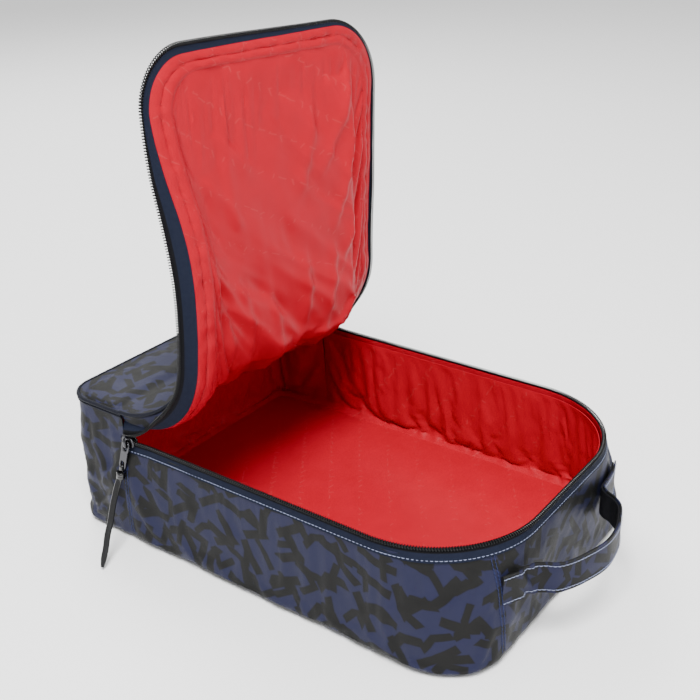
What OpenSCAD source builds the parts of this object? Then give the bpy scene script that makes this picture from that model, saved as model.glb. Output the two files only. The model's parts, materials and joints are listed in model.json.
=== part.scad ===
// Zip-round shoe bag lying on its back, with its lid standing open.
// The origin is the middle of the base on the floor, +X points to the handle end
// and the zip starts on the -Y side. All sizes are in millimetres.

/* [Bag] */
// Length from the heel end to the handle end
bag_l = 386; // [360:1:420]
// Width across the side walls
bag_w = 266; // [240:1:290]
// Height of the top panel above the floor
bag_h = 117; // [115:1:125]
// Height of the zip line above the floor
rim_h = 95; // [88:1:97]
// Corner radius at the heel end
heel_r = 30; // [20:1:40]
// Corner radius at the handle end
toe_r = 65; // [55:1:80]
// Length of the top that is sewn down at the heel end
heel_top = 65; // [60:1:80]

/* [Walls] */
// Thickness of the printed outer fabric
fabric_t = 1.2; // [1:0.1:1.4]
// Thickness of the padding foam
foam_t = 2.6; // [2.4:0.1:3.4]
// Thickness of the lining with its seam allowance
lining_t = 1; // [0.8:0.1:1.2]
// Thickness of the stiffening board in the base
board_t = 2; // [1.5:0.1:3]
// Height of the facing strip inside the rim
facing_h = 14; // [10:1:20]
// Thickness of the piping cord along the top edge
piping_d = 3; // [2:0.1:4]

/* [Zip] */
// Width of the zip tape between its coil and the fabric
tape_w = 6; // [5:0.5:7]
// Height of one side of the zip coil
coil_h = 2.2; // [2:0.1:2.4]
// Thickness of the zip coil
coil_t = 2.4; // [2:0.1:2.6]
// Length of the zip slider
slider_l = 13; // [11:1:15]
// Height of the zip slider
slider_h = 11; // [10:0.5:11]
// Length of the puller between the middles of its end bars
puller_l = 26; // [22:1:30]
// Width of the puller
puller_w = 8; // [7:0.5:10]
// Sideways lean of the hanging puller in degrees
puller_lean = 18; // [0:1:20]
// Diameter of the thong
thong_d = 3.6; // [3:0.1:4]

/* [Lid] */
// Radius of the bend where the lid stands up
fold_r = 60; // [50:1:64]
// Angle between the closed lid and the standing lid
open_angle = 90; // [60:1:90]

/* [Handle] */
// Distance from the centreline to each seam beside the handle
seam_y = 88; // [82:1:92]
// How far the handle loop stands off the end wall
handle_out = 37; // [33:1:42]
// Width of the handle strap
strap_w = 25; // [20:1:30]
// Height of the middle of the handle above the floor
handle_z = 59; // [50:1:66]
// Thickness of the printed face of the strap
strap_face_t = 1; // [0.8:0.1:1.2]
// Thickness of the webbing behind the strap's face
webbing_t = 1.4; // [1.2:0.1:1.8]

/* [Hidden] */
$fn = 96;

x_heel = -bag_l / 2;
x_toe = bag_l / 2;
x_seam = x_heel + heel_top;

// Layers of a wall, measured inwards from the outside of the bag
foam_in = fabric_t;
lining_in = foam_in + foam_t;
wall_in = lining_in + lining_t;

// Layers of the base, from the floor up, and of the top, from the top down
board_z = fabric_t;
base_lining_z = board_z + board_t;
inside_z = base_lining_z + lining_t;
panel_z = bag_h - fabric_t;
top_foam_z = panel_z - foam_t;
top_lining_z = top_foam_z - lining_t;

// Heights in the zip, either side of the zip line
coil_gap = 0.4;
lower_coil_z = rim_h - coil_gap / 2 - coil_h;
lower_tape_z = lower_coil_z - tape_w;
upper_coil_z = rim_h + coil_gap / 2;
upper_tape_z = upper_coil_z + coil_h;
band_z = upper_tape_z + tape_w;
coil_out = (coil_t - fabric_t) / 2;
facing_z = band_z - 1;

// The bend is carried by two hinge lines on the outer face of the top,
// which lie at the same height while the lid is closed
hinge_angle = open_angle / 2;
fold_in = fold_r * tan(hinge_angle / 2);
hinge_1 = x_seam + fold_in;
hinge_2 = hinge_1 + 2 * fold_in;
hinge_gap = 0.4;

// The slider is parked at the start of the zip
slide_clear = 0.4;
plate_t = 1.3;
slider_x = x_seam + slider_l / 2 + 2.5;
plate_y = -bag_w / 2 - coil_out - slide_clear - plate_t;
neck_h = 1.8;
bridge_r = 2.6;
bridge_t = 1.2;
bar_r = 0.8;
bar_y = plate_y - 1.5;
puller_t = 1.6;
knot_r = 3.2;
bight_r = 2.2;
bight_t = 0.8;
knot_drop = bight_r + knot_r;

// The thong runs from the knot down to the floor beside the bag
thong_route = [[-129, -138, 63], [-130, -142, 56], [-129, -147, 48], [-127, -152, 40], [-125, -158, 31],
    [-122, -164, 23], [-120, -170, 15], [-118, -175, 9], [-116, -180, 3]];
thong_sides = 8;

// The handle loop is part of a circle and hangs on its two sewn tabs
loop_r = 82;
loop_angle = 45;
loop_x = x_toe + handle_out - loop_r;
tab_x = x_toe + 6;
tab_y = seam_y - 22;
tab_turn = 21;
tab_l = 30;

// Outline of the bag from above, drawn in from the outside by inset
module outline(inset) {
    half_w = bag_w / 2 - inset;
    heel_c = heel_r - inset;
    toe_c = toe_r - inset;
    translate([x_heel + heel_r, -half_w]) square([bag_l - heel_r - toe_r, 2 * half_w]);
    translate([x_heel + inset, -half_w + heel_c]) square([heel_c, 2 * (half_w - heel_c)]);
    translate([x_toe - toe_r, -half_w + toe_c]) square([toe_c, 2 * (half_w - toe_c)]);
    for (side = [-1, 1]) {
        translate([x_heel + heel_r, side * (half_w - heel_c)]) circle(r = heel_c);
        translate([x_toe - toe_r, side * (half_w - toe_c)]) circle(r = toe_c);
    }
}

// Flat layer between two heights
module layer(inset, z0, z1) {
    translate([0, 0, z0]) linear_extrude(z1 - z0) outline(inset);
}

// Upright layer that follows the outline, between two insets and two heights
module wall(outer, inner, z0, z1) {
    translate([0, 0, z0]) linear_extrude(z1 - z0) difference() {
        outline(outer);
        outline(inner);
    }
}

// Everything between two lengths and two widths
module between(x0, x1, y0, y1) {
    intersection() {
        translate([x0, y0, 0]) cube([x1 - x0, y1 - y0, 2 * bag_h]);
        children();
    }
}

// The four stretches of wall and the three stretches of the top
module side_stretch(side) {
    reach = bag_w;
    y0 = side < 0 ? -reach : seam_y;
    y1 = side < 0 ? -seam_y : reach;
    between(x_seam, bag_l, y0, y1) children();
}

module end_stretch() {
    between(0, bag_l, -seam_y, seam_y) children();
}

module heel_stretch() {
    between(-bag_l, x_seam, -bag_w, bag_w) children();
}

module rim_stretch() {
    between(x_seam, bag_l, -bag_w, bag_w) children();
}

module heel_part() {
    between(-bag_l, hinge_1 - hinge_gap, -bag_w, bag_w) children();
}

module heel_flap_part() {
    between(x_seam, hinge_1 - hinge_gap, -bag_w, bag_w) children();
}

module fold_part() {
    between(hinge_1 + hinge_gap, hinge_2 - hinge_gap, -bag_w, bag_w) children();
}

module lid_part() {
    between(hinge_2 + hinge_gap, bag_l, -bag_w, bag_w) children();
}

// Turns a closed piece up about one hinge line
module turned_up(hinge_x) {
    translate([hinge_x, 0, bag_h]) rotate([0, -hinge_angle, 0]) translate([-hinge_x, 0, -bag_h]) children();
}

module open_fold() {
    turned_up(hinge_1) fold_part() children();
}

module open_lid() {
    turned_up(hinge_1) turned_up(hinge_2) lid_part() children();
}

// Layers that the sewn-down top, the bend and the lid share
module top_band() {
    wall(0, foam_in, band_z, panel_z);
}

module top_facing() {
    wall(foam_in, foam_in + lining_t, facing_z, top_lining_z);
}

module upper_tape() {
    wall(0, foam_in, upper_tape_z, band_z);
}

module upper_coil() {
    wall(-coil_out, coil_t - coil_out, upper_coil_z, upper_tape_z);
}

// Piping cord outside the top edge
module piping() {
    wall(-piping_d, 0, bag_h - piping_d, bag_h);
}

// Base
module base_panel() {
    color("#33354f") layer(0, 0, fabric_t);
}

module base_board() {
    color("#2b2b2e") layer(lining_in, board_z, base_lining_z);
}

module base_lining() {
    color("#c2262b") layer(lining_in, base_lining_z, inside_z);
}

// Walls: printed fabric outside, foam, and lining inside
module near_side_panel() {
    color("#3f4268") side_stretch(-1) wall(0, foam_in, fabric_t, lower_tape_z);
}

module near_side_foam() {
    color("#d8d8d4") side_stretch(-1) wall(foam_in, lining_in, fabric_t, lower_tape_z);
}

module near_side_lining() {
    color("#d0282e") side_stretch(-1) wall(lining_in, wall_in, inside_z, rim_h - facing_h);
}

module far_side_panel() {
    color("#3f4268") side_stretch(1) wall(0, foam_in, fabric_t, lower_tape_z);
}

module far_side_foam() {
    color("#d8d8d4") side_stretch(1) wall(foam_in, lining_in, fabric_t, lower_tape_z);
}

module far_side_lining() {
    color("#d0282e") side_stretch(1) wall(lining_in, wall_in, inside_z, rim_h - facing_h);
}

module handle_end_panel() {
    color("#3a3d61") end_stretch() wall(0, foam_in, fabric_t, lower_tape_z);
}

module handle_end_foam() {
    color("#d8d8d4") end_stretch() wall(foam_in, lining_in, fabric_t, lower_tape_z);
}

module handle_end_lining() {
    color("#d0282e") end_stretch() wall(lining_in, wall_in, inside_z, rim_h - facing_h);
}

module heel_gusset() {
    color("#3a3d61") heel_stretch() wall(0, foam_in, fabric_t, panel_z);
}

module heel_foam() {
    color("#d8d8d4") heel_stretch() wall(foam_in, lining_in, fabric_t, top_lining_z);
}

module heel_lining() {
    color("#d0282e") heel_stretch() wall(lining_in, wall_in, inside_z, top_lining_z);
}

// Rim with the lower half of the zip
module rim_facing() {
    color("#b0161d") rim_stretch() wall(lining_in, wall_in, rim_h - facing_h, lower_coil_z);
}

module body_zip_tape() {
    color("#1d2233") rim_stretch() wall(0, foam_in, lower_tape_z, lower_coil_z);
}

module body_zip_coil() {
    color("#17181b") rim_stretch()
        wall(-coil_out, coil_t - coil_out, lower_coil_z, lower_coil_z + coil_h);
}

module zip_end_stops() {
    stop_l = 2;
    color("#17181b") for (side = [-1, 1])
        translate([x_seam - stop_l, side * (bag_w / 2 + coil_out / 2), rim_h])
            cube([stop_l, coil_out, 2 * coil_h], center = true);
}

// Top that is sewn down at the heel end, with its first short stretch of upper zip tape
module heel_top_panel() {
    color("#44476c") heel_part() layer(0, panel_z, bag_h);
}

module heel_top_foam() {
    color("#d8d8d4") heel_part() layer(foam_in, top_foam_z, panel_z);
}

module heel_top_lining() {
    color("#d0282e") heel_part() layer(foam_in, top_lining_z, top_foam_z);
}

module heel_piping() {
    color("#15161c") heel_part() piping();
}

module heel_band() {
    color("#3f4268") heel_flap_part() top_band();
}

module heel_zip_tape() {
    color("#1d2233") heel_flap_part() upper_tape();
}

// Bend between the sewn-down top and the lid
module fold_panel() {
    color("#44476c") open_fold() layer(0, panel_z, bag_h);
}

module fold_foam() {
    color("#d8d8d4") open_fold() layer(foam_in, top_foam_z, panel_z);
}

module fold_lining() {
    color("#d0282e") open_fold() layer(foam_in, top_lining_z, top_foam_z);
}

module fold_band() {
    color("#3f4268") open_fold() top_band();
}

module fold_facing() {
    color("#b0161d") open_fold() top_facing();
}

module fold_zip_tape() {
    color("#1d2233") open_fold() upper_tape();
}

module fold_zip_coil() {
    color("#17181b") open_fold() upper_coil();
}

module fold_piping() {
    color("#15161c") open_fold() piping();
}

// Lid
module lid_panel() {
    color("#44476c") open_lid() layer(0, panel_z, bag_h);
}

module lid_foam() {
    color("#d8d8d4") open_lid() layer(foam_in, top_foam_z, panel_z);
}

module lid_lining() {
    color("#d0282e") open_lid() layer(foam_in, top_lining_z, top_foam_z);
}

module lid_band() {
    color("#3f4268") open_lid() top_band();
}

module lid_facing() {
    color("#b0161d") open_lid() top_facing();
}

module lid_zip_tape() {
    color("#1d2233") open_lid() upper_tape();
}

module lid_zip_coil() {
    color("#17181b") open_lid() upper_coil();
}

module lid_piping() {
    color("#15161c") open_lid() piping();
}

// Slider: two shield plates either side of the coil, joined by a neck over it
module slider_plate() {
    nose = slider_h / 2 - 2;
    rotate([90, 0, 0]) linear_extrude(plate_t) polygon([[-slider_l / 2, -nose],
        [2.5 - slider_l / 2, -slider_h / 2], [slider_l / 2, -slider_h / 2 + 1],
        [slider_l / 2, slider_h / 2 - 1], [2.5 - slider_l / 2, slider_h / 2], [-slider_l / 2, nose]]);
}

module zip_slider() {
    inner_y = -bag_w / 2 + coil_t - coil_out + slide_clear;
    neck_l = 3;
    color("#2c2d31") translate([slider_x, 0, rim_h]) {
        translate([0, plate_y + plate_t, 0]) slider_plate();
        translate([0, inner_y + plate_t, 0]) slider_plate();
        translate([-slider_l / 2, plate_y + plate_t / 2, coil_gap])
            cube([neck_l, inner_y - plate_y, neck_h]);
    }
}

module slider_bridge() {
    color("#2c2d31") translate([slider_x, plate_y, rim_h]) intersection() {
        rotate([0, 90, 0]) difference() {
            cylinder(r = bridge_r + bridge_t, h = 3, center = true);
            cylinder(r = bridge_r, h = 4, center = true);
        }
        translate([-3, -6, -6]) cube([6, 6, 12]);
    }
}

// Puller: flat tab with an eye at the bridge and an eye for the thong
module hung_at_bridge() {
    translate([slider_x, bar_y, rim_h]) rotate([0, puller_lean, 0]) children();
}

module puller() {
    eye_h = 6;
    side_w = 1.5;
    color("#3a3b3f") hung_at_bridge() {
        for (drop = [0, puller_l])
            translate([-puller_w / 2, 0, -drop]) rotate([0, 90, 0]) cylinder(r = bar_r, h = puller_w);
        for (side = [-1, 1])
            translate([side * (puller_w - side_w) / 2, 0, -puller_l / 2])
                cube([side_w, puller_t, puller_l], center = true);
        translate([0, 0, -puller_l / 2])
            cube([puller_w, puller_t, puller_l - 2 * eye_h], center = true);
    }
}

// Thong: a bight round the puller's lower bar, drawn tight in a knot, and one free tail
module thong_knot() {
    color("#121214") hung_at_bridge() translate([0, 0, -puller_l]) {
        rotate([0, 90, 0]) rotate_extrude() translate([bight_r, 0]) circle(r = bight_t);
        translate([0, 0, -knot_drop]) sphere(r = knot_r);
    }
}

function unit(v) = v / norm(v);
function route_way(p, i) = unit(p[min(i + 1, len(p) - 1)] - p[max(i - 1, 0)]);
function route_side(way) = unit(cross(way, [1, 0, 0]));

module swept_tube(p, d, sides) {
    n = len(p);
    ring = [for (i = [0 : n - 1], k = [0 : sides - 1])
        let (way = route_way(p, i), a = route_side(way), b = cross(way, a), t = 360 * k / sides)
            p[i] + d / 2 * (cos(t) * a + sin(t) * b)];
    skin = [for (i = [0 : n - 2], k = [0 : sides - 1]) let (m = (k + 1) % sides)
        [i * sides + k, i * sides + m, (i + 1) * sides + m, (i + 1) * sides + k]];
    first = [for (k = [sides - 1 : -1 : 0]) k];
    last = [for (k = [0 : sides - 1]) (n - 1) * sides + k];
    polyhedron(points = ring, faces = concat([first], skin, [last]));
}

module pull_thong() {
    color("#121214") swept_tube(thong_route, thong_d, thong_sides);
}

// Handle: tabs sewn into the two corner seams, and the loop between them
module handle_tabs() {
    strap_t = strap_face_t + webbing_t;
    color("#3f4268") difference() {
        for (side = [-1, 1])
            translate([tab_x, side * tab_y, handle_z - strap_w / 2]) rotate([0, 0, side * tab_turn])
                translate([-strap_t, side < 0 ? -tab_l : 0, 0]) cube([strap_t, tab_l, strap_w]);
        layer(0, 0, bag_h);
        for (side = [-1, 1])
            translate([-bag_l, side < 0 ? -seam_y - bag_w : seam_y, -1]) cube([3 * bag_l, bag_w, bag_h]);
    }
}

module loop_layer(r_in, r_out) {
    translate([loop_x, 0, handle_z]) rotate([0, 0, -loop_angle]) rotate_extrude(angle = 2 * loop_angle)
        translate([r_in, -strap_w / 2]) square([r_out - r_in, strap_w]);
}

module handle_strap() {
    color("#3f4268") loop_layer(loop_r - strap_face_t, loop_r);
}

module handle_webbing() {
    color("#16171a") loop_layer(loop_r - strap_face_t - webbing_t, loop_r - strap_face_t);
}

base_panel();
base_board();
base_lining();
near_side_panel();
near_side_foam();
near_side_lining();
far_side_panel();
far_side_foam();
far_side_lining();
handle_end_panel();
handle_end_foam();
handle_end_lining();
heel_gusset();
heel_foam();
heel_lining();
rim_facing();
body_zip_tape();
body_zip_coil();
zip_end_stops();
heel_top_panel();
heel_top_foam();
heel_top_lining();
heel_piping();
heel_band();
heel_zip_tape();
fold_panel();
fold_foam();
fold_lining();
fold_band();
fold_facing();
fold_zip_tape();
fold_zip_coil();
fold_piping();
lid_panel();
lid_foam();
lid_lining();
lid_band();
lid_facing();
lid_zip_tape();
lid_zip_coil();
lid_piping();
zip_slider();
slider_bridge();
puller();
thong_knot();
pull_thong();
handle_tabs();
handle_strap();
handle_webbing();
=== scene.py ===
import json
import math

import bpy
from mathutils import Matrix, Vector, noise


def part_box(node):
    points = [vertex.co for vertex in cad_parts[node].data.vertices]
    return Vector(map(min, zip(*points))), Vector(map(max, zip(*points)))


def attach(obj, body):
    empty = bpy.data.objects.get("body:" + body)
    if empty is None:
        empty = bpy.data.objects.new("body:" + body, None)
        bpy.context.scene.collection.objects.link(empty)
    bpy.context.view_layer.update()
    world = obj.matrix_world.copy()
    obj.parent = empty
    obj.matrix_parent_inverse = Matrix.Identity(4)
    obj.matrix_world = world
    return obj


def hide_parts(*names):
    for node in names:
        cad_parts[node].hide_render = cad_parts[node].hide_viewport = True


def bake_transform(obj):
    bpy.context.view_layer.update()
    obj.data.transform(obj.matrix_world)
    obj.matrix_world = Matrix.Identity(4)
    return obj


# A soft shoe bag lying on its back with its lid standing open. Lengths here are in millimetres.
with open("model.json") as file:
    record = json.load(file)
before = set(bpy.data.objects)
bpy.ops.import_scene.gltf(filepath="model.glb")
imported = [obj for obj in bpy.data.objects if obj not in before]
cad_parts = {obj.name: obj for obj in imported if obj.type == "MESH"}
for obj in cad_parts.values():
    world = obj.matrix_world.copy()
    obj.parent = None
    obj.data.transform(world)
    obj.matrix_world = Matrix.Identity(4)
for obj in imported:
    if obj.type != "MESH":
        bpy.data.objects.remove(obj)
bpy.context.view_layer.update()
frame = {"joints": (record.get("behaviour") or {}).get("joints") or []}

MM = 0.001
QUARTER = math.pi / 2
# An edge sharper than this stays sharp in the shading
CLOTH_ANGLE, METAL_ANGLE = math.radians(50), math.radians(40)

# ---------------------------------------------------------------- sizes taken from the frame


def corner(node, end):
    return [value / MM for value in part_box(node)[end]]


joints = {joint["name"]: joint for joint in frame["joints"]}
heel_x, toe_x = corner("base_panel", 0)[0], corner("base_panel", 1)[0]
seam_x = corner("near_side_panel", 0)[0]
top_z = corner("heel_top_panel", 1)[2]
rim_z = corner("body_zip_coil", 1)[2]
seam_y = corner("handle_end_panel", 1)[1]
hinge_1 = Vector(joints["lid_fold_lower"]["pos_m"]) / MM
fold_r = (hinge_1.x - seam_x) / math.tan(QUARTER / 4)
fold_l = QUARTER * fold_r
slider_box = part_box("zip_slider")
slider_x = (slider_box[0][0] + slider_box[1][0]) / 2 / MM
bar = Vector(joints["puller_swing"]["pos_m"]) / MM
low_bar = Vector(joints["thong_swing"]["pos_m"]) / MM
strap_w = corner("handle_strap", 1)[2] - corner("handle_strap", 0)[2]

# The cloth draws in at the rim and spreads at the base
half_base, half_rim = 136.0, 130.6
toe_r_base, toe_r_rim = 44.0, 86.0
heel_r = 24.0
tape_h = 5.8
cloth_top = rim_z - tape_h
roll_r = 8.0

# The cloth is held this far in from a seam, and then comes loose over the next few millimetres
seam_hold, seam_ease = 5.0, 7.0

# ---------------------------------------------------------------- small helpers


def mix(a, b, t):
    return a + (b - a) * t


def smooth(t):
    t = min(1.0, max(0.0, t))
    return t * t * (3 - 2 * t)


def bump(x, middle, width):
    return math.exp(-((x - middle) / width) ** 2)


def along(stops, t):
    """Smooth value at t from 0 to 1 through evenly spaced stops."""
    last = len(stops) - 1
    place = min(max(t, 0.0), 1.0) * last
    i = min(int(place), last - 1)
    f = place - i
    a, b = stops[i], stops[i + 1]
    before = stops[max(i - 1, 0)]
    after = stops[min(i + 2, last)]
    c1, c2 = (b - before) / 2, (after - a) / 2
    return ((2 * a - 2 * b + c1 + c2) * f + (-3 * a + 3 * b - 2 * c1 - c2)) * f * f + c1 * f + a


def ripple(x, y, size, seed=0.0):
    return noise.noise(Vector((x / size, y / size, seed)))


def drapes(x, y, folds):
    """Height at (x, y) of long folds, steep on one side and soft on the other.

    Each fold is (x0, y0, x1, y1, height, width)."""
    high = 0.0
    for x0, y0, x1, y1, height, width in folds:
        dx, dy = x1 - x0, y1 - y0
        length = math.hypot(dx, dy)
        run = ((x - x0) * dx + (y - y0) * dy) / length ** 2
        if -0.3 < run < 1.3:
            away = ((x - x0) * dy - (y - y0) * dx) / length + 0.06 * length * math.sin(math.pi * run)
            side = 1 / (1 + (away / width) ** 2) if away > 0 else math.exp(-(away / (0.5 * width)) ** 2)
            high += height * side * math.exp(-((run - 0.45) / 0.5) ** 4)
    return high


def nothing_selected():
    bpy.ops.object.select_all(action="DESELECT")


def only(obj):
    nothing_selected()
    obj.select_set(True)
    bpy.context.view_layer.objects.active = obj


def face_outwards(obj):
    only(obj)
    bpy.ops.object.mode_set(mode="EDIT")
    bpy.ops.mesh.select_all(action="SELECT")
    bpy.ops.mesh.normals_make_consistent(inside=False)
    bpy.ops.object.mode_set(mode="OBJECT")


def traced(count, at):
    """The points and outward directions that at(t) gives in count even steps from 0 to 1."""
    pairs = [at(i / count) for i in range(count + 1)]
    return [point for point, _ in pairs], [out for _, out in pairs]


def joined(name, pieces):
    nothing_selected()
    for piece in pieces:
        piece.select_set(True)
    bpy.context.view_layer.objects.active = pieces[0]
    bpy.ops.object.join()
    pieces[0].name = name
    pieces[0].data.name = name
    return pieces[0]


def fixed(obj, body, *nodes):
    """Fix a piece to a body, in place of these CAD nodes."""
    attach(obj, body)
    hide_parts(*nodes)


def dress(obj, name, material, slot=None):
    obj.name = name
    obj.data.name = name
    obj.data.materials.clear()
    obj.data.materials.append(material)
    return obj


def apply_modifier(obj, kind, **settings):
    only(obj)
    modifier = obj.modifiers.new(kind.title(), kind)
    for key, value in settings.items():
        setattr(modifier, key, value)
    bpy.ops.object.modifier_apply(modifier=modifier.name)


def settle(obj, loose, slack, cap, push=0.0, sag=1.0, bend=0.02, frames=16):
    """Let a cut of cloth with a little spare length find its own folds, held wherever loose is 0."""
    if not slack:
        return
    mesh = obj.data
    before = [vertex.co.copy() for vertex in mesh.vertices]
    group = obj.vertex_groups.new(name="held")
    for index, weight in enumerate(loose):
        group.add([index], 1.0 - weight, "REPLACE")
    only(obj)
    modifier = obj.modifiers.new("Cloth", "CLOTH")
    rules = modifier.settings
    rules.quality = 6
    rules.mass = 0.12
    rules.tension_stiffness = rules.compression_stiffness = 12.0
    rules.shear_stiffness = 4.0
    rules.bending_stiffness = bend
    rules.shrink_min = -slack
    rules.vertex_group_mass = "held"
    rules.effector_weights.gravity = sag
    rules.use_pressure = push != 0.0
    rules.uniform_pressure_force = push
    modifier.collision_settings.use_collision = False
    for step in range(1, frames + 1):
        bpy.context.scene.frame_set(step)
    bpy.ops.object.modifier_apply(modifier=modifier.name)
    bpy.context.scene.frame_set(1)
    obj.vertex_groups.clear()
    for vertex, start, weight in zip(obj.data.vertices, before, loose):
        move = vertex.co - start
        if not weight:
            vertex.co = start
        elif move.length > cap * MM:
            vertex.co = start + move.normalized() * cap * MM


def cloth(name, nu, nv, place, size, material, slot=None, thick=0.9, flip=False, closed=False, free=None):
    """A cut of cloth: a grid laid on the surface place(u, v), with its pattern in metres over size mm.

    free is (slack, cap in mm, push, sag, edges held) for a piece that is left to find its own folds."""
    nothing_selected()
    bpy.ops.mesh.primitive_grid_add(x_subdivisions=nu, y_subdivisions=nv, size=1, calc_uvs=True)
    obj = bpy.context.object
    mesh = obj.data
    cut = [(v.co.x + 0.5, v.co.y + 0.5) for v in mesh.vertices]
    for vertex, (u, v) in zip(mesh.vertices, cut):
        vertex.co = Vector(place(u, v)) * MM
    layer = mesh.uv_layers[0]
    layer.name = "cut"
    for loop in mesh.loops:
        u, v = cut[loop.vertex_index]
        layer.data[loop.index].uv = (u * size[0] * MM, v * size[1] * MM)
    if flip:
        mesh.flip_normals()
    if closed:
        only(obj)
        bpy.ops.object.mode_set(mode="EDIT")
        bpy.ops.mesh.select_all(action="SELECT")
        bpy.ops.mesh.remove_doubles(threshold=0.00002)
        bpy.ops.object.mode_set(mode="OBJECT")
    if free:
        slack, cap, push, sag, held = free
        loose = []
        for u, v in cut:
            ease = 1.0
            for edge, away in zip("LRBT", (u * size[0], (1 - u) * size[0], v * size[1], (1 - v) * size[1])):
                if edge in held:
                    ease = min(ease, smooth((away - seam_hold) / seam_ease))
            loose.append(ease)
        settle(obj, loose, slack, cap, push, sag)
    if thick:
        apply_modifier(obj, "SOLIDIFY", thickness=thick * MM, offset=-1.0)
        face_outwards(obj)
    only(obj)
    bpy.ops.object.shade_smooth_by_angle(angle=CLOTH_ANGLE)
    return dress(obj, name, material, slot)


def tube(name, path, section, material, slot=None):
    """A swept bar: section is a list of (across, up) in mm, path a list of (point, across, up)."""
    count = len(path)
    around = len(section)

    def place(u, v):
        i = min(int(round(u * (count - 1))), count - 1)
        k = int(round(v * around)) % around
        point, across, up = path[i]
        a, b = section[k]
        return point + across * a + up * b

    length = sum((path[i + 1][0] - path[i][0]).length for i in range(count - 1))
    girth = sum(math.dist(section[k - 1], section[k]) for k in range(around))
    obj = cloth(name, count - 1, around, place, (length, girth), material, slot, thick=0, closed=True)
    only(obj)
    bpy.ops.object.mode_set(mode="EDIT")
    bpy.ops.mesh.select_all(action="DESELECT")
    bpy.ops.mesh.select_non_manifold()
    bpy.ops.mesh.edge_face_add()
    bpy.ops.object.mode_set(mode="OBJECT")
    face_outwards(obj)
    bpy.ops.object.shade_smooth_by_angle(angle=CLOTH_ANGLE)
    return obj


def round_section(r, sides=8, squash=1.0):
    return [(r * math.cos(2 * math.pi * k / sides), r * squash * math.sin(2 * math.pi * k / sides))
            for k in range(sides)]


# ---------------------------------------------------------------- camera

camera_place = Vector((460.444, -618.911, 523.203))
camera_turn, camera_tip, camera_roll = math.radians(126.652), math.radians(25.658), math.radians(-1.38)
look = Vector((math.cos(camera_tip) * math.cos(camera_turn), math.cos(camera_tip) * math.sin(camera_turn),
               -math.sin(camera_tip)))
level = look.cross(Vector((0, 0, 1))).normalized()
upright = level.cross(look)
right = level * math.cos(camera_roll) + upright * math.sin(camera_roll)
above = upright * math.cos(camera_roll) - level * math.sin(camera_roll)
nothing_selected()
bpy.ops.object.camera_add()
camera = bpy.context.object
camera.name = "camera"
camera.data.lens = 55.54
camera.data.sensor_width = 36.0
camera.matrix_world = Matrix((
    (right.x, above.x, -look.x, camera_place.x * MM),
    (right.y, above.y, -look.y, camera_place.y * MM),
    (right.z, above.z, -look.z, camera_place.z * MM),
    (0, 0, 0, 1)))
bpy.context.scene.camera = camera

# ---------------------------------------------------------------- materials


class Nodes:
    """A short way to wire a material."""

    def __init__(self, name):
        self.material = bpy.data.materials.new(name)
        self.material.use_nodes = True
        self.tree = self.material.node_tree
        self.shader = self.tree.nodes["Principled BSDF"]

    def add(self, kind, **settings):
        node = self.tree.nodes.new("ShaderNode" + kind)
        for key, value in settings.items():
            setattr(node, key, value)
        return node

    def link(self, source, target):
        self.tree.links.new(source, target)

    def feed(self, socket, value):
        """Give a socket a number, a vector, a colour or another node's output."""
        if isinstance(value, (int, float)):
            socket.default_value = value
        elif isinstance(value, tuple):
            socket.default_value = value if len(socket.default_value) == len(value) else (*value, 1.0)
        elif value is not None:
            self.link(value, socket)

    def math(self, operation, a, b=None, c=None):
        node = self.add("Math", operation=operation)
        for socket, value in zip(node.inputs, (a, b, c)):
            self.feed(socket, value)
        return node.outputs[0]

    def vector(self, operation, a, b=None, scale=None):
        node = self.add("VectorMath", operation=operation)
        for socket, value in zip(node.inputs, (a, b)):
            self.feed(socket, value)
        if scale is not None:
            node.inputs["Scale"].default_value = scale
        return node.outputs["Value" if operation in ("LENGTH", "DOT_PRODUCT") else "Vector"]

    def cut(self):
        return self.add("UVMap", uv_map="cut").outputs[0]

    def place(self):
        return self.add("TexCoord").outputs["Object"]

    def noise(self, where, scale, detail=3.0, rough=0.5):
        node = self.add("TexNoise")
        node.inputs["Scale"].default_value = scale
        node.inputs["Detail"].default_value = detail
        node.inputs["Roughness"].default_value = rough
        self.link(where, node.inputs["Vector"])
        return node.outputs["Fac"]

    def blend(self, factor, a, b):
        node = self.add("Mix", data_type="RGBA")
        for place, value in ((0, factor), (6, a), (7, b)):
            self.feed(node.inputs[place], value)
        return node.outputs[2]

    def range(self, value, low, high, to_low=0.0, to_high=1.0):
        node = self.add("MapRange")
        node.clamp = True
        self.link(value, node.inputs[0])
        for socket, number in zip(list(node.inputs)[1:5], (low, high, to_low, to_high)):
            socket.default_value = number
        return node.outputs[0]

    def bumps(self, height, distance, strength=1.0):
        node = self.add("Bump")
        node.inputs["Distance"].default_value = distance
        node.inputs["Strength"].default_value = strength
        self.link(height, node.inputs["Height"])
        self.link(node.outputs[0], self.shader.inputs["Normal"])

    def finish(self, **sockets):
        for key, value in sockets.items():
            self.feed(self.shader.inputs[key.replace("_", " ")], value)
        return self.material


def tint(colour, factor):
    return tuple(channel * factor for channel in colour)


def weave(n, uv, pitch, slant=0.0):
    """Height of a plain or slanted weave with threads pitch metres apart."""
    parts = n.add("SeparateXYZ")
    n.link(uv, parts.inputs[0])
    turn = 2 * math.pi / pitch
    across = n.math("MULTIPLY_ADD", parts.outputs[1], turn * slant, n.math("MULTIPLY", parts.outputs[0], turn))
    warp = n.math("SINE", across)
    weft = n.math("SINE", n.math("MULTIPLY", parts.outputs[1], turn))
    return n.math("MULTIPLY", warp, weft)


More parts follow.
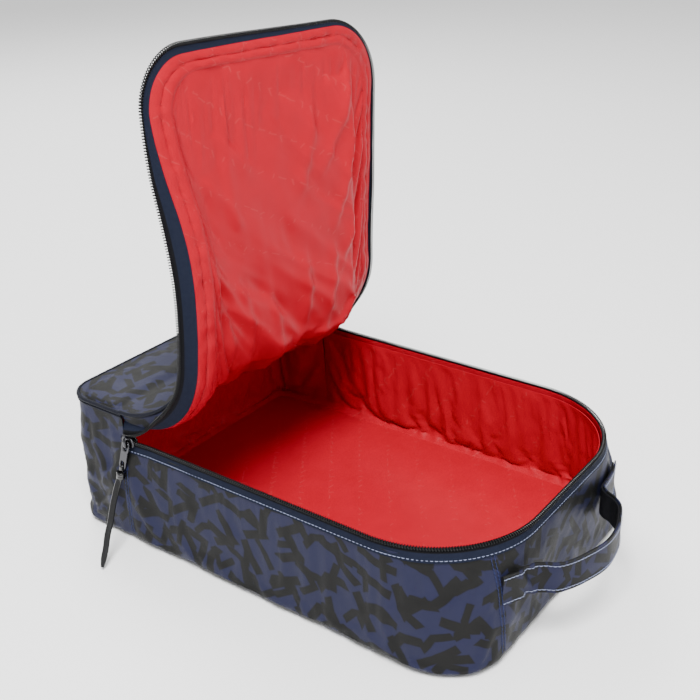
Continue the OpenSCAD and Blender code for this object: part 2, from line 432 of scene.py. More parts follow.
def strokes(n, uv, cell, turn, seed, width):
    """Mask of angular strokes, one bent bar in each square cell, at a random turn."""
    laid = n.add("VectorRotate", rotation_type="Z_AXIS")
    n.link(n.vector("SCALE", uv, scale=1 / cell), laid.inputs["Vector"])
    laid.inputs["Angle"].default_value = turn
    moved = n.vector("ADD", laid.outputs[0], (seed * 0.37, seed * 0.61, 0))
    cell_id = n.vector("FLOOR", moved)
    inside = n.vector("SUBTRACT", n.vector("FRACTION", moved), (0.5, 0.5, 0))
    chance = n.add("TexWhiteNoise", noise_dimensions="3D")
    n.link(n.vector("ADD", cell_id, (seed, seed * 2.0, 0.5)), chance.inputs["Vector"])
    steps = n.math("FLOOR", n.math("MULTIPLY", chance.outputs["Value"], 8))
    angle = n.math("MULTIPLY", steps, math.pi / 4)
    turned = n.add("VectorRotate", rotation_type="Z_AXIS")
    n.link(inside, turned.inputs["Vector"])
    n.link(angle, turned.inputs["Angle"])
    parts = n.add("SeparateXYZ")
    n.link(turned.outputs[0], parts.inputs[0])
    colour = n.add("SeparateColor")
    n.link(chance.outputs["Color"], colour.inputs[0])
    bend = n.math("MULTIPLY_ADD", colour.outputs[0], 1.5, -0.1)
    side = n.math("ABSOLUTE", parts.outputs[0])
    off = n.math("ABSOLUTE", n.math("ADD", n.math("MULTIPLY_ADD", side, bend, 0.0),
                                    n.math("MULTIPLY_ADD", parts.outputs[1], -1.0, -0.12)))
    slope = n.math("SQRT", n.math("MULTIPLY_ADD", bend, bend, 1.0))
    near = n.math("DIVIDE", off, slope)
    half = width / cell / 2
    soft = 0.0004 / cell
    bar_mask = n.range(near, half + soft, half - soft)
    end_mask = n.range(side, 0.46, 0.46 - 2 * soft)
    return n.math("MULTIPLY", bar_mask, end_mask)


def printed_cloth(name):
    n = Nodes(name)
    uv = n.cut()
    print_mask = n.math("MAXIMUM", strokes(n, uv, 0.031, 0.35, 3.0, 0.0072),
                        n.math("MAXIMUM", strokes(n, uv, 0.034, -0.5, 11.0, 0.0068),
                               strokes(n, uv, 0.027, 1.05, 23.0, 0.0055)))
    worn = n.noise(uv, 60.0, 4.0, 0.6)
    fine = n.noise(uv, 2500.0, 2.0)
    navy = n.blend(worn, (0.0125, 0.0135, 0.034),
                   (0.0180, 0.0190, 0.044))
    char = n.blend(worn, (0.0075, 0.0075, 0.0075),
                   (0.0125, 0.0125, 0.0120))
    colour = n.blend(print_mask, navy, char)
    threads = weave(n, uv, 0.0007, 0.5)
    height = n.math("ADD", n.math("MULTIPLY", threads, 0.5), n.math("MULTIPLY", fine, 0.4))
    height = n.math("ADD", height, n.math("MULTIPLY", print_mask, 0.25))
    n.bumps(height, 0.00006, 0.7)
    rough = n.math("ADD", n.range(worn, 0.3, 0.7, 0.40, 0.52), n.math("MULTIPLY", print_mask, 0.04))
    return n.finish(Base_Color=colour, Roughness=rough, Specular_IOR_Level=0.09)


def red_satin(name, deep=1.0):
    n = Nodes(name)
    uv = n.cut()
    mottled = n.noise(uv, 45.0, 3.0, 0.55)
    colour = n.blend(mottled, tint((0.33, 0.003, 0.012), deep),
                     tint((0.40, 0.004, 0.017), deep))
    rows = n.add("VectorRotate", rotation_type="Z_AXIS")
    n.link(uv, rows.inputs["Vector"])
    rows.inputs["Angle"].default_value = 0.95
    lanes = n.add("SeparateXYZ")
    n.link(rows.outputs[0], lanes.inputs[0])
    lane = n.range(n.math("SINE", n.math("MULTIPLY", lanes.outputs[1], 2 * math.pi / 0.026)), 0.80, 0.84)
    marks = n.math("MULTIPLY", strokes(n, uv, 0.0085, 0.95, 5.0, 0.0009), lane)
    colour = n.blend(n.math("MULTIPLY", marks, 0.22), colour, (0.50, 0.08, 0.08))
    threads = weave(n, uv, 0.0005, 0.0)
    fine = n.noise(uv, 1800.0, 2.0)
    n.bumps(n.math("ADD", n.math("MULTIPLY", threads, 0.4), n.math("MULTIPLY", fine, 0.5)), 0.00005, 0.6)
    rough = n.range(mottled, 0.3, 0.7, 0.36, 0.46)
    return n.finish(Base_Color=colour, Roughness=rough, Specular_IOR_Level=0.08)


def ribbed_cloth(name, colour, pitch, rough):
    n = Nodes(name)
    uv = n.cut()
    mottled = n.noise(uv, 300.0, 3.0)
    shade = n.blend(mottled, tint(colour, 0.6), tint(colour, 0.95))
    n.bumps(weave(n, uv, pitch), 0.00008, 0.8)
    return n.finish(Base_Color=shade, Roughness=n.range(mottled, 0.3, 0.7, rough - 0.06, rough + 0.06),
                    Specular_IOR_Level=0.08)


def zip_tape_cloth():
    n = Nodes("zip_tape")
    uv = n.cut()
    parts = n.add("SeparateXYZ")
    n.link(uv, parts.inputs[0])
    beside_coil = n.range(parts.outputs[1], 0.0040, 0.0044)
    mottled = n.noise(uv, 300.0, 3.0)
    navy = n.blend(mottled, (0.006, 0.008, 0.018), (0.010, 0.013, 0.026))
    shade = n.blend(beside_coil, (0.004, 0.004, 0.005), navy)
    n.bumps(weave(n, uv, 0.0008), 0.0001, 0.8)
    return n.finish(Base_Color=shade, Roughness=0.62, Specular_IOR_Level=0.06)


def plain(name, colour, rough, metal=0.0, coat=0.0, grain=400.0, depth=0.00004, spread=0.2):
    n = Nodes(name)
    where = n.place()
    mottled = n.noise(where, grain, 4.0, 0.6)
    shade = n.blend(mottled, tint(colour, 1 - spread), tint(colour, 1 + spread))
    n.bumps(mottled, depth, 0.6)
    return n.finish(Base_Color=shade, Roughness=n.range(mottled, 0.3, 0.7, rough - 0.05, rough + 0.08),
                    Specular_IOR_Level=0.3, Metallic=metal, Coat_Weight=coat, Coat_Roughness=0.12)


printed = printed_cloth("printed_nylon")
red = red_satin("red_satin")
red_deep = red_satin("red_facing", 0.92)
tape_cloth = zip_tape_cloth()
coil_nylon = plain("coil_nylon", (0.004, 0.004, 0.0045), 0.34, grain=900.0)
piping_cloth = ribbed_cloth("piping_cloth", (0.010, 0.011, 0.018), 0.0008, 0.5)
gunmetal = plain("gunmetal", (0.055, 0.055, 0.06), 0.22, metal=1.0, grain=600.0, depth=0.00002)
glossy_leather = plain("thong_leather", (0.003, 0.003, 0.0035), 0.20, coat=0.7, grain=500.0, depth=0.00003)
webbing_cloth = ribbed_cloth("webbing_cloth", (0.009, 0.009, 0.011), 0.0016, 0.65)
blue_thread = ribbed_cloth("blue_thread", (0.34, 0.38, 0.56), 0.0005, 0.5)
navy_thread = ribbed_cloth("navy_thread", (0.03, 0.04, 0.13), 0.0005, 0.5)
red_thread = ribbed_cloth("red_thread", (0.45, 0.02, 0.03), 0.0005, 0.5)
board_plastic = plain("board_plastic", (0.03, 0.03, 0.033), 0.5, grain=500.0)

# ---------------------------------------------------------------- the outline of the body


def outline_at(z):
    """The heel end, the toe end, half the width and the toe's corner radius at height z."""
    t = min(max(z / rim_z, 0.0), 1.0)
    swell = 2.0 * math.sin(math.pi * t) if z < rim_z else 0.0
    half = mix(half_base, half_rim, t) + swell
    heel_end = heel_x - 0.5 * (1 - t) - swell * 0.5
    toe_end = toe_x + 1.5 * (1 - t) + swell * 0.5 - 0.5
    return heel_end, toe_end, half, mix(toe_r_base, toe_r_rim, t)


def lengths(z):
    _, x1, half, r = outline_at(z)
    return x1 - r - seam_x, QUARTER * r, 2 * (half - r)


def round_end(s, z, inset, end_x, r, straight, way):
    """Point s mm round one end of the bag, and the outward direction: way is 1.0 at the toe, -1.0 at the heel."""
    half = outline_at(z)[2]
    arc, end = QUARTER * r, 2 * (half - r)
    cx, cy = end_x - way * r, way * (half - r)
    if s < straight:
        p, out = (seam_x + way * s, -way * half), (0.0, -way)
    elif s < straight + arc:
        a = (s - straight) / r
        out = (way * math.sin(a), -way * math.cos(a))
        p = (cx + r * out[0], -cy + r * out[1])
    elif s < straight + arc + end:
        p, out = (end_x, -cy + way * (s - straight - arc)), (way, 0.0)
    elif s < straight + 2 * arc + end:
        a = (s - straight - arc - end) / r
        out = (way * math.cos(a), way * math.sin(a))
        p = (cx + r * out[0], cy + r * out[1])
    else:
        p, out = (cx - way * (s - straight - 2 * arc - end), way * half), (0.0, way)
    out = Vector((out[0], out[1], 0.0))
    return Vector((p[0], p[1], z)) - out * inset, out


def walk(s, z, inset=0.0):
    """Point s mm along the open side of the bag at height z, and the outward direction."""
    _, x1, _, r = outline_at(z)
    return round_end(s, z, inset, x1, r, lengths(z)[0], 1.0)


def total(z):
    straight, arc, end = lengths(z)
    return 2 * straight + 2 * arc + end


def seam_at(z):
    """Length from the zip's start to the first vertical seam beside the handle."""
    _, x1, half, r = outline_at(z)
    straight, arc, end = lengths(z)
    if half - r > seam_y:
        return straight + arc + (half - r - seam_y)
    return straight + r * math.acos((seam_y - (half - r)) / r)


def walk_heel(s, z, inset=0.0):
    """Point s mm along the heel end from the far seam round to the near seam, and the outward direction."""
    x0 = outline_at(z)[0]
    return round_end(s, z, inset, x0, heel_r, seam_x - x0 - heel_r, -1.0)


def heel_total(z):
    x0, _, half, _ = outline_at(z)
    return 2 * (seam_x - x0 - heel_r) + math.pi * heel_r + 2 * (half - heel_r)


def rise(v, height, base_gap=0.4):
    """Height and inset v of the way up a wall, with the cloth rolling under at the bottom."""
    under = QUARTER * roll_r
    d = v * (under + height - roll_r - base_gap)
    if d < under:
        a = d / roll_r
        return base_gap + roll_r * (1 - math.cos(a)), roll_r * (1 - math.sin(a))
    return base_gap + roll_r + d - under, 0.0


# ---------------------------------------------------------------- the thong and its knot

thong_route = [Vector(p) for p in (
    (-128, -138.7, 66), (-128.6, -140.5, 60), (-129, -144, 53), (-128.5, -148, 46), (-127, -153, 38),
    (-125, -158, 30), (-123, -164, 22.5), (-120.5, -169, 15), (-118.5, -174, 8.5), (-116.5, -178.5, 2.4))]


def spot(route, t):
    return Vector([along([p[k] for p in route], t) for k in range(3)])


def route_frames(route, count, side):
    """Points along a route with the flat direction and the face direction at each."""
    frames = []
    for i in range(count):
        t = i / (count - 1)
        run = (spot(route, min(t + 0.01, 1.0)) - spot(route, max(t - 0.01, 0.0))).normalized()
        across = (side - run * side.dot(run)).normalized()
        frames.append((spot(route, t), across, run.cross(across)))
    return frames


def flat_section(w, h, r):
    """A flat bar's section w by h with its corners eased by r."""
    a, b = w / 2, h / 2
    return [(-a, -b + r), (-a + r, -b), (a - r, -b), (a, -b + r), (a, b - r), (a - r, b), (-a + r, b), (-a, b - r)]


thong_w = 5.0
thong_steps = 45
thong_frames = route_frames(thong_route, thong_steps + 1, Vector((0.86, 0.5, 0.05)))
thong_path = []
for i, (point, across, face) in enumerate(thong_frames):
    t = i / thong_steps
    narrow = 1.0 if t < 0.9 else mix(1.0, 0.5, (t - 0.9) / 0.1)
    swing = 0.05 * math.sin(7 * t)
    turned = (across * math.cos(swing) + face * math.sin(swing))
    ahead, behind = thong_frames[min(i + 1, thong_steps)][0], thong_frames[max(i - 1, 0)][0]
    thong_path.append((point, turned * narrow, turned.cross((ahead - behind).normalized())))
thong = tube("pull_thong_leather", thong_path, flat_section(thong_w, 1.8, 0.5), glossy_leather, "thong_leather")
fixed(thong, "thong", "pull_thong")
thong_length = sum((a[0] - b[0]).length for a, b in zip(thong_path, thong_path[1:]))

# The knot: the thong wrapped round itself
knot_steps, knot_turns = 60, 2.6
knot_mid = low_bar + Vector((-0.9, -1.9, -5.9))
knot_route = []
for i in range(knot_steps + 1):
    a = 2 * math.pi * knot_turns * i / knot_steps
    swell = 1.9 + 1.5 * math.sin(math.pi * i / knot_steps)
    drop = 2.4 - 6.0 * i / knot_steps
    knot_route.append(knot_mid + Vector((swell * math.cos(a), swell * math.sin(a) * 0.85, drop)))
wraps = tube("thong_wraps", route_frames(knot_route, 26, Vector((0, 0.3, 1))), flat_section(3.2, 1.5, 0.3),
             glossy_leather)
eye_route = [low_bar + Vector(p) for p in (
    (-0.9, -1.6, -4.6), (-0.3, -1.9, -1.6), (0, -1.5, 0.9), (0, 0.0, 1.7), (0, 1.5, 0.9), (-0.3, 1.3, -1.6),
    (-0.9, -0.2, -4.6))]
eye = tube("thong_eye", route_frames(eye_route, 30, Vector((1, 0, 0))), flat_section(3.0, 0.9, 0.3), glossy_leather)
knot = dress(joined("thong_knot_leather", [wraps, eye]), "thong_knot_leather", glossy_leather, "thong_leather")
fixed(knot, "thong", "thong_knot")

# ---------------------------------------------------------------- the walls of the body

whole = total(cloth_top)
flare_out, flare_l = 2.0, 34.0


def spread(s):
    """The rim stands out a little at both ends of the zip."""
    return flare_out * (1 - smooth(min(s, whole - s) / flare_l))


def creased(s, z, v, deep=1.0, seed=0.0):
    """How far the cloth of a wall stands off its flat shape: broad swells and a few sharper folds."""
    window = math.sqrt(max(0.0, 4 * v * (1 - v)))
    broad = ripple(s + 0.4 * z, z, 46, seed) * 2.6
    sharp = (0.5 - abs(ripple(s + 0.9 * z, 0.6 * z - 0.3 * s, 26, seed + 7))) * 1.5
    fine = ripple(s - 0.5 * z, z, 11, seed + 3) * 0.45
    return (broad + sharp - 0.3 + fine) * window * deep


def wall(walker, first, last, height, deep=1.0, seed=0.0, inset=0.0, open_side=True, floor=0.4, extra=None):
    def place(u, v):
        z, under = rise(v, height, floor)
        s = mix(first(z), last(z), u)
        out = creased(s, z, v, deep, seed) + (extra(s, z, v) if extra else 0.0)
        out *= mix(0.1, 1.0, smooth(min(s - first(z), last(z) - s) / 12.0))
        if open_side:
            out += spread(s) * smooth(v)
        point, outward = walker(s, z, inset + under)
        return point + outward * out
    return place


def zero(z):
    return 0.0


def far_seam(z):
    return total(z) - seam_at(z)


# Long folds in the outer cloth: (s, z) of both ends, height, width
NEAR_FOLDS = ((6, 82, 52, 22, 1.8, 6), (16, 84, 88, 38, 1.3, 7), (70, 20, 150, 60, 0.9, 9),
              (150, 80, 196, 16, 1.3, 8), (236, 20, 306, 66, 1.4, 8), (268, 78, 330, 22, 1.2, 7),
              (300, 84, 345, 50, 1.4, 6))


def seam_pull(s, z, v):
    """Fan of small folds that run off the vertical seams, and the long folds along each side."""
    along_side = min(s, total(z) - s)
    return small_pull(s, z, v) + drapes(along_side, z, NEAR_FOLDS) * 4 * v * (1 - v)


def small_pull(s, z, v):
    near = min(abs(s - seam_at(z)), abs(s - far_seam(z)))
    return 0.8 * math.exp(-near / 14.0) * math.sin(z / 4.6 + near / 9.0) * 4 * v * (1 - v)


wall_l = seam_at(cloth_top)
end_l = whole - 2 * wall_l
wall_h = cloth_top + 4
near_shape = wall(walk, zero, seam_at, cloth_top, 1.0, 0.0, extra=seam_pull)
far_shape = wall(walk, far_seam, total, cloth_top, 1.0, 9.0, extra=seam_pull)
near_wall = cloth("near_side_cloth", 120, 40, near_shape,
                  (wall_l, wall_h), printed, "printed_fabric", free=(0.012, 2.2, 3.0, 0.6, "LRBT"))
end_wall = cloth("handle_end_cloth", 90, 40, wall(walk, seam_at, far_seam, cloth_top, 1.0, 5.0, extra=seam_pull),
                 (end_l, wall_h), printed, "printed_fabric", free=None)
far_wall = cloth("far_side_cloth", 120, 40, far_shape,
                 (wall_l, wall_h), printed, "printed_fabric", free=(0.012, 2.2, 3.0, 0.6, "LRBT"))
for piece, node in ((near_wall, "near_side"), (end_wall, "handle_end"), (far_wall, "far_side")):
    fixed(piece, "bag", node + "_panel")


# Folds of the heel's cloth, with s measured from the nearer seam
HEEL_FOLDS = ((4, 72, 40, 24, 2.0, 6), (6, 96, 52, 58, 1.7, 6), (22, 104, 70, 84, 1.3, 5), (10, 44, 44, 8, 1.5, 5),
              (88, 100, 120, 20, 1.5, 9), (150, 96, 140, 22, 1.3, 9))


def heel_pull(s, z, v):
    """Slanting creases where the heel's side cloth is drawn towards the top corners."""
    around = heel_total(z)
    corner_near = min(abs(s - (around - 30)), abs(s - 30))
    folds = drapes(min(s, around - s), z, HEEL_FOLDS) * 4 * v * (1 - v)
    return folds + 1.6 * math.exp(-corner_near / 30.0) * math.sin((z * 1.1 + corner_near) / 8.0) * 4 * v * (1 - v)


piping_r = 1.7
heel_wall_top = top_z - 2 * piping_r
heel_l = heel_total(cloth_top)
heel_wall = cloth("heel_gusset_cloth", 130, 48,
                  wall(walk_heel, zero, heel_total, heel_wall_top, 1.7, 15.0, open_side=False, extra=heel_pull),
                  (heel_l, heel_wall_top + 4), printed, "printed_fabric", free=(0.014, 2.6, 3.0, 0.6, "LRBT"))
fixed(heel_wall, "bag", "heel_gusset", "heel_band", "heel_zip_tape")

# Linings inside the walls
lining_foot = 4.2


def fallen(s, z, v):
    """The lining hangs loose: it leans in from the wall in slack vertical and slanting folds."""
    hang = math.sin(math.pi * min(v, 1.0)) ** 0.8
    folds = 2.6 * (0.5 - abs(ripple(s + 0.25 * z, 0.35 * z, 17, 31)) * 2) + 1.6 * ripple(s, z * 0.4, 9, 37)
    return -hang * (2.6 + folds)


def heel_fallen(s, z, v):
    return fallen(s, z, v) - 3.4 * smooth(min(s, heel_total(z) - s) / 40)


def lining_wall(name, first, last, across, height, walker, seed, length, open_side, nodes, hang=fallen):
    piece = cloth(name, across, 44,
                  wall(walker, first, last, height, 0.5, seed, inset=4.6, open_side=open_side, floor=lining_foot,
                       extra=hang), (length, height + 4), red, "lining", thick=0.5,
                  free=(0.03, 5.0, 0.0, 1.2, "LRBT"))
    fixed(piece, "bag", *nodes)
    return piece


lining_wall("near_side_satin", zero, seam_at, 120, cloth_top, walk, 3, wall_l, True,
            ("near_side_lining", "near_side_foam"))
lining_wall("handle_end_satin", seam_at, far_seam, 90, cloth_top, walk, 6, end_l, True,
            ("handle_end_lining", "handle_end_foam"))
lining_wall("far_side_satin", far_seam, total, 120, cloth_top, walk, 8, wall_l, True,
            ("far_side_lining", "far_side_foam"))
lining_wall("heel_satin", zero, heel_total, 110, heel_wall_top, walk_heel, 12, heel_l, False,
            ("heel_foam",), heel_fallen)


def ring_inside(u, v, z, inset):
    """A point of the whole floor outline: u runs round the bag, v from the middle out."""
    around = total(z) + heel_total(z)
    s = u * around
    point, _ = walk(s, z, inset) if s < total(z) else walk_heel(s - total(z), z, inset)
    return Vector((mix(0.0, point.x, v), mix(0.0, point.y, v), z))


def floor_piece(name, z, inset, material, slot, thick, node, puff=0.0):
    def place(u, v):
        point = ring_inside(u, v, z, inset)
        point.z += puff * (1 - v ** 6) * (1 + 0.8 * ripple(point.x, point.y, 60, 5))
        return point
    piece = cloth(name, 150, 40, place, (600, 150), material, slot, thick=thick, closed=True)
    layer = piece.data.uv_layers["cut"]
    for loop in piece.data.loops:
        co = piece.data.vertices[loop.vertex_index].co
        layer.data[loop.index].uv = (co.x, co.y)
    fixed(piece, "bag", node)
    return piece


floor_piece("base_cloth", 0.4, roll_r - 0.5, printed, "printed_fabric", 0.4, "base_panel")
floor_piece("base_stiffener", 2.6, roll_r - 3, board_plastic, "board", 1.6, "base_board")
floor_piece("base_satin", 4.6, roll_r - 4.5, red, "lining", 0.5, "base_lining", puff=1.2)

# ---------------------------------------------------------------- zip and stitches


STEPS_EACH = 8


def travel(line, outward, steps_for):
    """Even steps along a line: step, distance, point, and the outward and forward directions there."""
    reached = [0.0]
    for a, b in zip(line, line[1:]):
        reached.append(reached[-1] + (b - a).length)
    around = reached[-1]
    steps = steps_for(around)
    k = 0
    for i in range(steps + 1):
        d = around * i / steps
        while k < len(line) - 2 and reached[k + 1] < d:
            k += 1
        f = (d - reached[k]) / max(1e-9, reached[k + 1] - reached[k])
        out = outward[k].lerp(outward[k + 1], f).normalized()
        yield i, d, line[k].lerp(line[k + 1], f), out, (line[k + 1] - line[k]).normalized()


def coil(name, spine, outward, pitch=2.0, wide=1.5, high=1.1, wire=0.5):
    """A nylon coil: a flattened spiral of wire that runs along the spine, a list of points."""
    path = []
    for _, d, point, out, run in travel(spine, outward, lambda around: int(around / pitch * STEPS_EACH)):
        up = run.cross(out).normalized()
        turn = 2 * math.pi * d / pitch
        lean = out * math.cos(turn) * wide + up * math.sin(turn) * high
        path.append((point + lean, lean.normalized(), run))
    return tube(name, path, round_section(wire, 5), coil_nylon, "zip_coil")


def stitches(name, line, outward, thread, pitch=3.2, r=0.29, slot="zip_tape"):
    """A row of stitches: one thread that rises out of the cloth and dips back through it."""
    path = []
    for i, _, point, out, run in travel(line, outward, lambda around: max(2, round(around / pitch)) * STEPS_EACH):
        high = min(0.30, 1.17 * math.sqrt(abs(math.sin(math.pi * (i + 0.01) / STEPS_EACH))) - 0.93)
        path.append((point + out * high, run.cross(out).normalized(), out))
    return tube(name, path, round_section(r, 5, 0.7), thread, slot)


def rim_line(height, inset, step=3.0):
    """A line round the zip, near enough step mm between points."""
    def at(t):
        s = whole * t
        point, out = walk(s, min(height, rim_z), inset)
        return point + out * spread(s), out
    return traced(int(whole / step) + 1, at)


def tape_place(u, v):
    s = u * whole
    z = mix(cloth_top - 4, rim_z - 0.6, v)
    point, out = walk(s, z, 0.0)
    lean = 1.3 - 1.9 * v + 0.35 * ripple(s, 0, 22, 50)
    return point + out * (lean - 0.4 + spread(s))


body_tape = cloth("body_zip_tape_cloth", 300, 8, tape_place, (whole, rim_z - cloth_top + 3), tape_cloth,
                  "zip_tape", thick=0.7)
# The tape's plain black strip lies next to the coil
for loop, data in zip(body_tape.data.loops, body_tape.data.uv_layers["cut"].data):
    data.uv.y = 0.0078 - (data.uv.y - 0.0020)
fixed(body_tape, "bag", "body_zip_tape")
points, outs = rim_line(rim_z - 0.9, 0.4)
body_coil = coil("body_zip_coil_nylon", points, outs)
fixed(body_coil, "bag", "body_zip_coil")
points, outs = rim_line(cloth_top - 2.6, -0.55)
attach(stitches("body_tape_stitches", points, outs, blue_thread), "bag")

# The lining's hem folded up behind the tape
facing_h = corner("rim_facing", 1)[2] - corner("rim_facing", 0)[2]


def hem_place(u, v):
    s = u * whole
    z = mix(cloth_top - facing_h + 4, rim_z - 2.4, v)
    point, out = walk(s, z, 2.0)
    point += out * spread(s)
    pucker = 0.5 * math.sin(s / 2.4 + 2 * ripple(s, z, 14, 61)) * math.exp(-((v - 0.25) / 0.2) ** 2)
    return point - out * (1.4 * (1 - v) + pucker + 0.5 * ripple(s, z, 12, 60))


hem = cloth("rim_hem_satin", 420, 10, hem_place, (whole, facing_h), red_deep, "facing", thick=0.6)
fixed(hem, "bag", "rim_facing")

# Twin rows of stitches down the four upright seams
SEAMS = (("near_handle_seam", near_shape, seam_at, wall_l, True),
         ("far_handle_seam", far_shape, far_seam, wall_l, False),
         ("near_heel_seam", near_shape, zero, wall_l, False),
         ("far_heel_seam", far_shape, total, wall_l, True))


def seam_line(shape, seam, u):
    def at(t):
        v = mix(0.14, 0.97, t)
        z, under = rise(v, cloth_top)
        out = walk(seam(z), z, under)[1]
        return shape(u, v) + out * 0.3, out
    return traced(27, at)


for name, shape, seam, length, at_end in SEAMS:
    for row, shift in (("first", 2.2), ("second", 5.0)):
        line, outs = seam_line(shape, seam, 1 - shift / length if at_end else shift / length)
        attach(stitches(name + "_stitches_" + row, line, outs, navy_thread, slot="printed_fabric"), "bag")

# Stops at the two ends of the body's chain
for name, s in (("near_zip_stop", 1.2), ("far_zip_stop", whole - 1.2)):
    point, out = walk(s, rim_z, 0.4)
    point += out * spread(s) - Vector((0, 0, 0.6))
    run = Vector((1, 0, 0))
    piece = tube(name, [(point + run * (k - 1.5), out, Vector((0, 0, 1))) for k in (0, 0.3, 2.7, 3.0)],
                 flat_section(3.2, 2.8, 0.6), gunmetal, "slider_metal")
    fixed(piece, "bag", "zip_end_stops")

# ---------------------------------------------------------------- the heel's top


def heel_top_place(u, v):
    """u runs from the back edge to the fold line, v from the near side to the far side."""
    half = half_rim - 1.0
    y = -half * math.cos(math.pi * v)
    edge = 0.0
    if abs(y) > half - heel_r:
        edge = heel_r - math.sqrt(max(0.0, heel_r ** 2 - (abs(y) - half + heel_r) ** 2))
    x = mix(heel_x + 1.2 + edge, seam_x, u)
    side = min(1.0, (half - abs(y)) / 26) * min(1.0, (x - heel_x) / 24)
    dome = 3.4 * smooth(side) * (1 - 0.55 * smooth(u))
    crease = (1.2 * ripple(x + 0.5 * y, y, 34, 70) + 0.9 * (0.5 - abs(ripple(x - 0.8 * y, 0.5 * y, 24, 74)) * 1.6))
    return Vector((x, y, top_z - 0.8 + dome + crease * smooth(side)))


heel_top = cloth("heel_top_cloth", 40, 110, heel_top_place, (70, 262), printed, "printed_fabric",
                 free=(0.012, 2.0, 0.0, -0.6, "LRBT"))
fixed(heel_top, "bag", "heel_top_panel", "heel_top_foam")
heel_under = cloth("heel_top_satin", 36, 100,
                   lambda u, v: heel_top_place(u, v) - Vector((0, 0, 4.6)) + Vector((3 * (1 - u), 0, 0)),
                   (70, 262), red, "lining", thick=0.5, free=(0.02, 4.0, 0.0, 1.0, "LRBT"))
fixed(heel_under, "bag", "heel_top_lining", "heel_lining")


def heel_ring(height, inset):
    def at(t):
        point, out = walk_heel(heel_total(rim_z) * t, rim_z, inset)
        point.z = height
        return point, out
    return traced(150, at)


def bead(name, points, outs, r, material, slot):
    path = []
    for i, (point, out) in enumerate(zip(points, outs)):
        run = (points[min(i + 1, len(points) - 1)] - points[max(i - 1, 0)]).normalized()
        path.append((point, out, run.cross(out).normalized()))
    return tube(name, path, round_section(r, 10), material, slot)


points, outs = heel_ring(top_z - piping_r, 0.2)
heel_cord = bead("heel_piping_cord", points, outs, piping_r, piping_cloth, "piping")
fixed(heel_cord, "bag", "heel_piping")
points, outs = heel_ring(top_z - 2 * piping_r - 1.1, 0.0)
heel_welt = bead("heel_welt_cord", points, outs, 1.1, piping_cloth, "piping")
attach(heel_welt, "bag")

# ---------------------------------------------------------------- the lid

lid_l = 316.0
lid_fall = 10.0
lid_mid = fold_l / 2
bend_z = top_z + fold_r
# How far round a lid ring, from 0 to 1, its near side, near corner, top and far corner end
NEAR_END, TOP_START, TOP_END, FAR_START = 0.31, 0.40, 0.59, 0.71


def lid_point(l, y, d):
    """l mm up the lid from the fold line, y across it, d mm towards the lining side."""
    if l <= 0:
        return Vector((seam_x + l, y, top_z - d))
    if l < fold_l:
        a = l / fold_r
        r = fold_r + d
        return Vector((seam_x + r * math.sin(a), y, bend_z - r * math.cos(a)))
    return Vector((seam_x + fold_r + d, y, bend_z + l - fold_l))


def lid_out(l, toward_l, toward_y, toward_d=0.0):
    """The direction in space that goes with a direction in the lid's own cloth."""
    a = min(max(l, 0.0), fold_l) / fold_r
    up = Vector((math.cos(a), 0, math.sin(a)))
    face = Vector((math.sin(a), 0, -math.cos(a)))
    return (up * toward_l + Vector((0, toward_y, 0)) + face * toward_d).normalized()


class Ring:
    """A line round the lid: half width, top, the two corner radii, and depth up each side."""

    def __init__(self, half_near, half_far, top, r_near, r_far, near, far, taper=0.0, heel=0.0, close=0.0):
        self.half_near, self.half_far, self.top = half_near, half_far, top
        self.taper, self.heel, self.close = taper, heel, close
        self.r_near, self.r_far = r_near, r_far
        self.near, self.far = near, far

    def side(self, l, stops):
        return along(stops, l / lid_l)

    def half(self, l, near):
        heel = self.heel * (1 - smooth(l / 66))
        flare = 2.6 * bump(l, 250, 60) + self.taper * smooth((l - 170) / 100)
        return self.half_near + flare + heel if near else self.half_far + heel * 0.6

    def depth(self, l, y):
        near, far = self.side(l, self.near), self.side(l, self.far)
        t = smooth((y + self.half_near) / (self.half_near + self.half_far))
        return mix(near, far, t)

    def at(self, u):
        """u from 0 at the middle of the bend on the near side, over the top, to 1 on the far side."""
        straight_near = self.top - self.r_near - lid_mid
        straight_far = self.top - self.r_far - lid_mid
        if u < NEAR_END:
            l = lid_mid + straight_near * u / NEAR_END
            y, out = -self.half(l, True), (0.0, -1.0)
        elif u < TOP_START:
            a = QUARTER * (u - NEAR_END) / (TOP_START - NEAR_END)
            out = (math.sin(a), -math.cos(a))
            half = self.half(self.top - self.r_near, True)
            l = self.top - self.r_near + self.r_near * out[0]
            y = -(half - self.r_near) + self.r_near * out[1]
        elif u < TOP_END:
            t = (u - TOP_START) / (TOP_END - TOP_START)
            half = self.half(self.top - self.r_near, True)
            l, out = self.top, (1.0, 0.0)
            y = mix(-(half - self.r_near), self.half_far - self.r_far, t)
        elif u < FAR_START:
            a = QUARTER * (u - TOP_END) / (FAR_START - TOP_END)
            out = (math.cos(a), math.sin(a))
            l = self.top - self.r_far + self.r_far * out[0]
            y = self.half_far - self.r_far + self.r_far * out[1]
        else:
            l = lid_mid + straight_far * (1 - u) / (1 - FAR_START)
            y, out = self.half_far, (0.0, 1.0)
        l = self.fallen(l, y)
        return l, y, self.depth(l, y), out

    def fallen(self, l, y):
        """The free end stands a little lower towards the far side."""
        t = (y + self.half_near) / (self.half_near + self.half_far)
        return lid_mid + (l - lid_mid) * (1 - (lid_fall - self.close) * smooth(t) / (self.top - lid_mid))

    def low(self, t, near):
        """t from 0 at the fold line to 1 at the middle of the bend, on one side."""
        l = lid_mid * t
        y = -self.half(l, True) if near else self.half_far
        return l, y, self.side(l, self.near if near else self.far), (0.0, -1.0 if near else 1.0)


